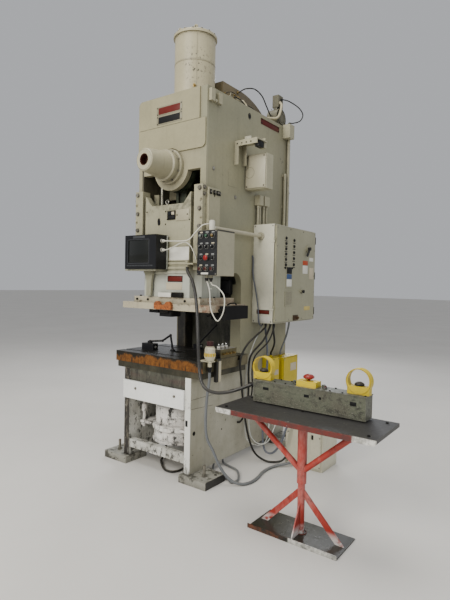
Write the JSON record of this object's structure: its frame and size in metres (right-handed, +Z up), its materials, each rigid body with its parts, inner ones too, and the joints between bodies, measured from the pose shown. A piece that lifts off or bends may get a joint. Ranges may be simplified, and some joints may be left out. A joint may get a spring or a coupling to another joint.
{
  "type": "mechanical stamping press",
  "caption": "Gap-frame mechanical stamping press with a crank-driven slide, bolster, die cushion, control cabinet, hanging control box and a separate two-hand operator stand.",
  "frame": {"origin": "on the floor, at the centre of the anchor bolt pattern, under the press's centre plane", "axes": "+X to the right seen from the front, +Y to the back, +Z up"},
  "size_m": [2.4945, 1.9865, 3.7],
  "materials": {
    "frame_paint": "semi-gloss, chipped and oil stained",
    "cover_paint": "semi-gloss",
    "worn_white": "worn and flaked",
    "dark_green": "oily",
    "dark_steel": "oiled",
    "bright_steel": "turned",
    "bolster_steel": "ground top, rusted sides",
    "grey_paint": "satin",
    "dusty_brown": "dusty",
    "black_paint": "satin",
    "black_plastic": "matte",
    "red_plastic": "gloss",
    "yellow_paint": "gloss",
    "red_paint": "worn",
    "table_black": "scuffed",
    "bar_green": "scuffed",
    "brass_block": "tarnished",
    "belt_rubber": "matte",
    "beige_plastic": "matte",
    "dark_cord": "matte",
    "grey_cord": "matte",
    "pale_cord": "matte"
  },
  "bodies": {
    "frame": {"left_side_plate": "frame_paint", "right_side_plate": "frame_paint", "crown_weldment": "frame_paint", "upper_front_cover": "cover_paint", "lower_front_cover": "cover_paint", "crank_bearing_housing": "frame_paint", "slide_gibs": "frame_paint", "bed_block": "dark_green", "cross_ties": "frame_paint", "bed_apron": "worn_white", "floor_feet": "frame_paint", "frame_fasteners": "bright_steel", "bolster_plate": "bolster_steel", "cushion_cylinder": "worn_white", "air_tank": "frame_paint", "drive_hood": "dusty_brown", "drive_motor": "grey_paint", "drive_belts": "belt_rubber", "flywheel_guard": "frame_paint", "cabinet_case": "cover_paint", "side_junction_box": "frame_paint", "side_bracket": "frame_paint", "side_conduits": "frame_paint", "cam_switch": "dusty_brown", "pendant_arm": "frame_paint", "monitor_bracket": "frame_paint", "monitor_housing": "black_paint", "valve_manifold": "brass_block", "tool_receptacle": "beige_plastic", "yellow_boxes": "yellow_paint", "floor_box": "cover_paint", "stand_frame": "red_paint", "stand_table": "table_black", "run_bar": "bar_green", "palm_guards": "yellow_paint", "magnetic_bases": "black_paint", "run_bar_cable": "dark_cord", "receptacle_cable": "grey_cord", "held_leads": "pale_cord", "cabinet_cables": "grey_cord"},
    "crank": {"crankshaft": "bright_steel"},
    "conrod": {"connecting_rod": "dark_green"},
    "slide": {"slide_body": "frame_paint", "slide_plates": "worn_white", "die_clamps": "dark_steel", "counterbalance_rods": "bright_steel"},
    "flywheel": {"flywheel": "dark_steel"},
    "pulley": {"motor_pulley": "bright_steel"},
    "cushion": {"cushion_pad": "bright_steel"},
    "pendant": {"pendant_box": "cover_paint", "pendant_loop_cable": "pale_cord"},
    "selector_left": {"pendant_selector_left": "black_plastic"},
    "selector_middle": {"pendant_selector_middle": "black_plastic"},
    "selector_right": {"pendant_selector_right": "black_plastic"},
    "pendant_stop": {"pendant_stop_button": "red_plastic"},
    "door": {"cabinet_door": "cover_paint"},
    "disconnect": {"disconnect_handle": "black_plastic"},
    "stand_stop": {"stand_stop_button": "red_plastic"},
    "left_palm": {"left_palm_button": "black_plastic"},
    "right_palm": {"right_palm_button": "black_plastic"}
  },
  "joints": [
    {"name": "crank_turn", "type": "hinge", "parent": "frame", "child": "crank", "pos_m": [0, -0.4, 2.496], "axis": [0, 1, 0], "range_deg": [0, 180]},
    {"name": "conrod_swing", "type": "hinge", "parent": "crank", "child": "conrod", "pos_m": [0, -0.375, 2.547], "axis": [0, 1, 0], "range_deg": [-180, 0]},
    {"name": "slide_stroke", "type": "slide", "parent": "frame", "child": "slide", "axis": [0, 0, 1], "range_m": [-0.102, 0]},
    {"name": "flywheel_spin", "type": "hinge", "parent": "frame", "child": "flywheel", "pos_m": [0, 0.84, 2.496], "axis": [0, 1, 0], "continuous": true},
    {"name": "pulley_spin", "type": "hinge", "parent": "frame", "child": "pulley", "pos_m": [0, 0.84, 3.18], "axis": [0, 1, 0], "continuous": true},
    {"name": "cushion_travel", "type": "slide", "parent": "frame", "child": "cushion", "axis": [0, 0, 1], "range_m": [-0.05, 0], "stiffness_N_per_m": 20000, "springref_m": 0.03},
    {"name": "pendant_swivel", "type": "hinge", "parent": "frame", "child": "pendant", "pos_m": [0.45, -0.574, 1.976], "axis": [0, 0, 1], "range_deg": [-12, 12]},
    {"name": "selector_left_turn", "type": "hinge", "parent": "pendant", "child": "selector_left", "pos_m": [0.44032, -0.6895, 1.81946], "axis": [0, 1, 0], "range_deg": [-45, 45]},
    {"name": "selector_middle_turn", "type": "hinge", "parent": "pendant", "child": "selector_middle", "pos_m": [0.496, -0.6895, 1.81946], "axis": [0, 1, 0], "range_deg": [-45, 45]},
    {"name": "selector_right_turn", "type": "hinge", "parent": "pendant", "child": "selector_right", "pos_m": [0.55168, -0.6895, 1.81946], "axis": [0, 1, 0], "range_deg": [-45, 45]},
    {"name": "pendant_stop_press", "type": "slide", "parent": "pendant", "child": "pendant_stop", "axis": [0, 1, 0], "range_m": [0, 0.004], "stiffness_N_per_m": 600, "springref_m": -0.004},
    {"name": "door_swing", "type": "hinge", "parent": "frame", "child": "door", "pos_m": [0.593, 0.136, 1.6], "axis": [0, 0, -1], "range_deg": [0, 110]},
    {"name": "disconnect_turn", "type": "hinge", "parent": "door", "child": "disconnect", "pos_m": [0.614, 0.755, 1.9], "axis": [1, 0, 0], "range_deg": [0, 90]},
    {"name": "stand_stop_press", "type": "slide", "parent": "frame", "child": "stand_stop", "axis": [0, 0, 1], "range_m": [-0.007, 0], "stiffness_N_per_m": 600, "springref_m": 0.008},
    {"name": "left_palm_press", "type": "slide", "parent": "frame", "child": "left_palm", "axis": [0, 0, 1], "range_m": [-0.004, 0], "stiffness_N_per_m": 600, "springref_m": 0.008},
    {"name": "right_palm_press", "type": "slide", "parent": "frame", "child": "right_palm", "axis": [0, 0, 1], "range_m": [-0.004, 0], "stiffness_N_per_m": 600, "springref_m": 0.008}
  ],
  "couplings": [
    {"joint": "conrod_swing", "follows": "crank_turn", "ratio": -1},
    {"joint": "slide_stroke", "follows": "crank_turn", "m_per_rad": -0.032468},
    {"joint": "pulley_spin", "follows": "flywheel_spin", "ratio": 4.0909}
  ]
}
